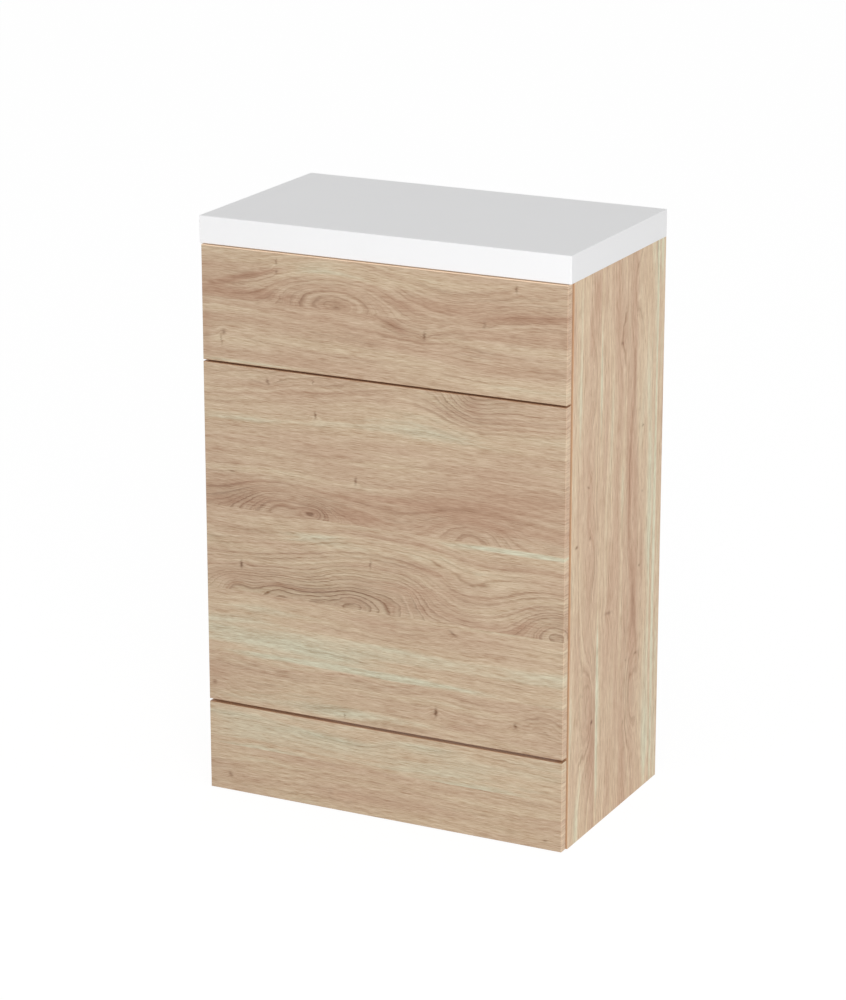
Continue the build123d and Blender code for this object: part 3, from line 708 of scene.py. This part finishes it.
# The decor paper: how much smoother a raised fibre is, and how deep and strong its bump is
PAPER_SHINE = -0.12
PAPER_DEPTH = 0.05
PAPER_BUMP = 0.5
PAPER_SPECULAR = 0.32
BAND_SPECULAR = 0.35
BAND_SMOOTHER = 0.06


def new_material(name):
    """The empty tree of a new material."""
    return Graph(bpy.data.materials.new(name))


def oak_board(name, decor, across_axis, thickness_axis, gain):
    """Decor on both faces of a board, with bare chipboard where it is cut or drilled."""
    scene = bpy.context.scene
    oak = scene.unit_oak
    graph = new_material(name)
    place = graph.place()
    parts = dict(zip("xyz", graph.separate(place)))
    along_axis = ({"x", "y", "z"} - {across_axis, thickness_axis}).pop()
    fields, relief = oak_fields(graph, parts[along_axis], parts[across_axis], decor, oak)
    colour = oak_colour(graph, fields, oak, gain)
    squareness = dict(zip("xyz", graph.facing()))[thickness_axis]
    on_face = graph.math("GREATER_THAN", squareness, SQUARE_FACE)
    colour = graph.mix(on_face, chipboard_colour(graph, place, scene.unit_fittings), colour)
    roughness = graph.scaled_sum(relief, PAPER_SHINE, oak.roughness)
    normal = graph.relief(relief, PAPER_DEPTH, PAPER_BUMP)
    return graph.surface(colour, roughness, Specular_IOR_Level=PAPER_SPECULAR, Normal=normal)


def front_band(name, decor, gain):
    """A band on a front panel or a rail: the grain across the unit goes on round the corner, with painted
    shade on the faces in the gaps and a painted highlight under the worktop.
    """
    oak = bpy.context.scene.unit_oak
    graph = new_material(name)
    x, y, z = graph.separate(graph.place())
    facing_x, _, facing_z = graph.facing()
    depth = graph.math("SUBTRACT", y, FRONT_FACE)
    along = graph.math("ADD", x, depth)
    across = graph.scaled_sum(graph.math("MULTIPLY", depth, facing_z), -1.0, z)
    fields, relief = oak_fields(graph, along, across, decor, oak)
    face = oak_colour(graph, fields, oak, 1.0)
    edge = oak_colour(graph, fields, oak, gain)
    colour = graph.mix(graph.step(facing_x, *FACES_SIDE), face, edge)
    # Painted shade: band faces that face up or down into the gaps between panels take the darker gap colour.
    gap_shade_share = graph.step(facing_z, *FACES_UP, 0.0, oak.gap_shade_cover)
    colour = graph.mix(gap_shade_share, colour, rgba(oak.gap_shade))
    # Painted highlight: the topmost band, under the worktop, takes the bright peach top colour.
    top_highlight_mask = graph.math("GREATER_THAN", z, FASCIA_TOP - BAND)
    colour = graph.mix(top_highlight_mask, colour, rgba(oak.top_highlight))
    return band_surface(graph, colour, relief, oak)


def side_band(name, decor, gain):
    """A band on a side panel: the upright grain goes on round the corner, and the front one, which faces the
    gap, is painted darker as shade.
    """
    oak = bpy.context.scene.unit_oak
    graph = new_material(name)
    x, y, z = graph.separate(graph.place())
    facing_y = graph.facing()[1]
    inward = graph.math("SUBTRACT", SIDE_OUTSIDE, graph.math("ABSOLUTE", x))
    across = graph.scaled_sum(inward, -1.0, y)
    fields, relief = oak_fields(graph, z, across, decor, oak)
    colour = oak_colour(graph, fields, oak, gain)
    # Painted shade: the front edge of each side, in the crevice behind the front panels, takes the darker gap
    # colour.
    at_front = graph.math("MULTIPLY", graph.math("LESS_THAN", y, 0.0), oak.gap_shade_cover)
    gap_shade_share = graph.math("MULTIPLY", graph.step(facing_y, *FACES_FRONT), at_front)
    colour = graph.mix(gap_shade_share, colour, rgba(oak.gap_shade))
    return band_surface(graph, colour, relief, oak)


def band_surface(graph, colour, relief, oak):
    """The finish of a band, a little smoother than the boards' faces."""
    roughness = graph.scaled_sum(relief, PAPER_SHINE, oak.roughness - BAND_SMOOTHER)
    return graph.surface(colour, roughness, Specular_IOR_Level=BAND_SPECULAR)


# Operators: one for each group of like pieces, and one for the stage

class FrontPanels(bpy.types.Operator):
    """Light oak decor with the grain across, on the fascia, the centre panel and the plinth"""

    bl_idname = "toilet_unit.front_panels"
    bl_label = "Front Panels"

    def execute(self, context):
        oak = oak_board("oak_front", FRONT_DECOR, "z", "y", 1.0)
        paint(("top_fascia", "centre_panel", "plinth_panel"), oak)
        band = front_band("oak_front_band", FRONT_DECOR, context.scene.unit_oak.side_gain)
        paint(("fascia_edge_bands", "centre_panel_edge_bands", "plinth_edge_bands"), band)
        return {"FINISHED"}


class SidePanels(bpy.types.Operator):
    """Light oak decor with upright grain, on the two sides"""

    bl_idname = "toilet_unit.side_panels"
    bl_label = "Side Panels"

    def execute(self, context):
        gain = context.scene.unit_oak.side_gain
        for side, decor in (("right", SIDE_DECOR), ("left", LEFT_DECOR)):
            paint((side + "_side_panel",), oak_board("oak_" + side, decor, "y", "x", gain))
            paint((side + "_side_edge_bands",), side_band("oak_" + side + "_band", decor, gain))
        return {"FINISHED"}


class Rails(bpy.types.Operator):
    """Light oak decor with the grain along, on the rails"""

    bl_idname = "toilet_unit.rails"
    bl_label = "Rails"

    def execute(self, context):
        gain = context.scene.unit_oak.rail_gain
        paint(("top_front_rail", "middle_front_rail"), oak_board("oak_flat_rail", RAIL_DECOR, "y", "z", gain))
        paint(("bottom_front_rail", "top_rear_rail", "bottom_rear_rail"),
              oak_board("oak_upright_rail", RAIL_DECOR, "z", "y", gain))
        paint(("rail_edge_bands",), front_band("oak_rail_band", RAIL_DECOR, gain))
        return {"FINISHED"}


class Worktop(bpy.types.Operator):
    """White cast worktop with a soft satin surface"""

    bl_idname = "toilet_unit.worktop"
    bl_label = "Worktop"

    def execute(self, context):
        graph = new_material("white_cast")
        place = graph.place()
        grit = graph.cloud(place, 0.9)
        colour = uneven(graph, graph.cloud(place, 0.012), context.scene.unit_fittings.worktop, 0.985, 1.0)
        roughness = graph.math("MULTIPLY_ADD", grit, 0.10, 0.30)
        normal = graph.relief(grit, 0.01, 0.3)
        paint(("worktop",), graph.surface(colour, roughness, Specular_IOR_Level=0.4, Normal=normal))
        return {"FINISHED"}


def metal(name, colour, roughness, grain):
    """Dull metal with fine scratches and a slightly uneven plating."""
    graph = new_material(name)
    place = graph.place()
    scratches = graph.cloud(graph.vector("MULTIPLY", place, grain), 1.0, 4.0)
    tint = uneven(graph, graph.cloud(place, 0.25), colour, 0.82, 1.1)
    shine = graph.math("MULTIPLY_ADD", scratches, 0.28, roughness - 0.14)
    return graph.surface(tint, shine, Metallic=1.0, Normal=graph.relief(scratches, 0.02, 0.4))


def plastic(name, colour, roughness, **inputs):
    """Moulded plastic with a fine spark-eroded texture."""
    graph = new_material(name)
    place = graph.place()
    grit = graph.cloud(place, 2.2)
    tint = uneven(graph, graph.cloud(place, 0.08, 1.0), colour, 0.94, 1.04)
    shine = graph.math("MULTIPLY_ADD", grit, 0.2, roughness - 0.1)
    return graph.surface(tint, shine, Normal=graph.relief(grit, 0.02, 0.4), **inputs)


class CamFittings(bpy.types.Operator):
    """Die-cast cams and bolts, moulded cover caps and beech dowels in the rail joints"""

    bl_idname = "toilet_unit.cam_fittings"
    bl_label = "Cam Fittings"

    def execute(self, context):
        fittings = context.scene.unit_fittings
        paint(("cam_discs", "cam_bolts"), metal("cam_zinc", fittings.zinc, 0.46, (1.0, 1.0, 1.0)))
        paint(("cam_cover_caps",), plastic("cap_plastic", fittings.cap, 0.5))
        graph = new_material("beech")
        flecks = graph.cloud(graph.vector("MULTIPLY", graph.place(), (0.06, 1.6, 1.6)), 1.0, 3.0)
        colour = uneven(graph, flecks, fittings.beech, 0.7, 1.15)
        paint(("wooden_dowels",), graph.surface(colour, 0.6, Normal=graph.relief(flecks, 0.1, 0.5)))
        return {"FINISHED"}


class FrontClips(bpy.types.Operator):
    """White nylon studs and sockets that hold the front panels, and the clear buffers between"""

    bl_idname = "toilet_unit.front_clips"
    bl_label = "Front Clips"

    def execute(self, context):
        fittings = context.scene.unit_fittings
        panels = ("fascia", "centre_panel", "plinth")
        nodes = [panel + part for panel in panels for part in ("_clip_sockets", "_clip_studs")]
        paint(nodes, plastic("clip_nylon", fittings.clip, 0.42))
        clear = plastic("clear_buffer", fittings.buffer, 0.3, Transmission_Weight=0.55, IOR=1.45)
        paint(("bumper_pads",), clear)
        return {"FINISHED"}


class Screws(bpy.types.Operator):
    """Bright plated screws in the clips and brackets"""

    bl_idname = "toilet_unit.screws"
    bl_label = "Screws"

    def execute(self, context):
        nodes = ("socket_screws", "wall_bracket_screws", "fascia_stud_screws", "centre_panel_stud_screws",
                 "plinth_stud_screws")
        paint(nodes, metal("screw_steel", context.scene.unit_fittings.screw, 0.3, (1.5, 1.5, 1.5)))
        return {"FINISHED"}


class WallBrackets(bpy.types.Operator):
    """Plated steel angle brackets in the back corners"""

    bl_idname = "toilet_unit.wall_brackets"
    bl_label = "Wall Brackets"

    def execute(self, context):
        steel = metal("bracket_steel", context.scene.unit_fittings.bracket, 0.34, (0.3, 0.3, 5.0))
        paint(("wall_brackets",), steel)
        return {"FINISHED"}


def seen_directly(graph):
    """One for what the camera sees, straight or in a reflection, and nought for light on the unit."""
    path = graph.node("ShaderNodeLightPath").outputs
    seen = graph.math("ADD", path["Is Camera Ray"], path["Is Glossy Ray"])
    return graph.math("ADD", seen, path["Is Transmission Ray"], clamp=True)


class Stage(bpy.types.Operator):
    """Plain pale floor, white surround, soft lamps and the camera"""

    bl_idname = "toilet_unit.stage"
    bl_label = "Stage"

    def execute(self, context):
        stage = context.scene.unit_stage
        self.add_floor(context.scene, stage)
        self.add_surround(context.scene, stage)
        self.add_key_lamp(context.scene, stage)
        self.add_camera(context.scene, stage)
        context.scene.view_settings.view_transform = "Standard"
        return {"FINISHED"}

    def add_floor(self, scene, stage):
        mesh = bpy.data.meshes.new("floor")
        shape = bmesh.new()
        bmesh.ops.create_grid(shape, x_segments=1, y_segments=1, size=stage.floor_size / 2)
        shape.to_mesh(mesh)
        shape.free()
        floor = bpy.data.objects.new("floor", mesh)
        scene.collection.objects.link(floor)
        mesh.materials.append(self.floor_material(stage))

    def floor_material(self, stage):
        graph = new_material("studio_floor")
        colour = uneven(graph, graph.cloud(graph.place(), 0.02), stage.floor_colour, 0.98, 1.0)
        matt = graph.node("ShaderNodeBsdfDiffuse", {"Color": colour}).outputs[0]
        white = graph.node("ShaderNodeEmission", {"Strength": stage.floor_glow}).outputs[0]
        share = graph.math("MULTIPLY", seen_directly(graph), stage.floor_glow_share)
        return graph.finish(graph.node("ShaderNodeMixShader", {0: share, 1: matt, 2: white}).outputs[0])

    def add_surround(self, scene, stage):
        world = bpy.data.worlds.new("surround")
        scene.world = world
        graph = Graph(world)
        light, white = [
            graph.node("ShaderNodeBackground", {"Color": WHITE, "Strength": strength}).outputs[0]
            for strength in (stage.room_light, 1.0)
        ]
        mixed = graph.node("ShaderNodeMixShader", {0: seen_directly(graph), 1: light, 2: white}).outputs[0]
        graph.finish(mixed, "ShaderNodeOutputWorld")

    def add_key_lamp(self, scene, stage):
        lamp = bpy.data.lights.new("key_lamp", "AREA")
        lamp.shape = "SQUARE"
        lamp.size = stage.key_size
        lamp.energy = stage.key_power
        holder = bpy.data.objects.new("key_lamp", lamp)
        holder.location = stage.key_place
        middle = (unit_low + unit_high) / 2
        holder.rotation_euler = (Vector(stage.key_place) - middle).to_track_quat("Z", "Y").to_euler()
        holder.visible_glossy = False
        scene.collection.objects.link(holder)

    def add_camera(self, scene, stage):
        lens = bpy.data.cameras.new("camera")
        lens.sensor_fit = "AUTO"
        lens.sensor_width = SENSOR_WIDTH
        lens.lens = stage.camera_focal_pixels * SENSOR_WIDTH / IMAGE_LONG_SIDE
        lens.clip_end = FAR_CLIP
        camera = bpy.data.objects.new("camera", lens)
        camera.location = stage.camera_place
        camera.rotation_euler = (math.pi / 2 - stage.camera_tilt, 0.0, stage.camera_turn)
        scene.collection.objects.link(camera)
        scene.camera = camera


STEPS = (Stage, FrontPanels, SidePanels, Rails, Worktop, CamFittings, FrontClips, Screws, WallBrackets)
SETTINGS = {"unit_stage": StageSettings, "unit_oak": OakSettings, "unit_fittings": FittingSettings}


class UnitPanel(bpy.types.Panel):
    """The steps that dress the unit, in order"""

    bl_idname = "VIEW3D_PT_toilet_unit"
    bl_label = "Toilet Unit"
    bl_space_type = "VIEW_3D"
    bl_region_type = "UI"
    bl_category = "Toilet Unit"

    def draw(self, context):
        for step in STEPS:
            self.layout.operator(step.bl_idname)
        for name, settings in SETTINGS.items():
            box = self.layout.box()
            box.label(text=settings.__doc__)
            for prop in settings.__annotations__:
                box.prop(getattr(context.scene, name), prop)


def register():
    for group in (*SETTINGS.values(), *STEPS, UnitPanel):
        bpy.utils.register_class(group)
    for name, settings in SETTINGS.items():
        setattr(bpy.types.Scene, name, bpy.props.PointerProperty(type=settings))


def unregister():
    for name in SETTINGS:
        delattr(bpy.types.Scene, name)
    for group in (UnitPanel, *reversed(STEPS), *SETTINGS.values()):
        bpy.utils.unregister_class(group)


def main():
    register()
    for step in STEPS:
        family, name = step.bl_idname.split(".")
        getattr(getattr(bpy.ops, family), name)()


if __name__ == "__main__":
    main()
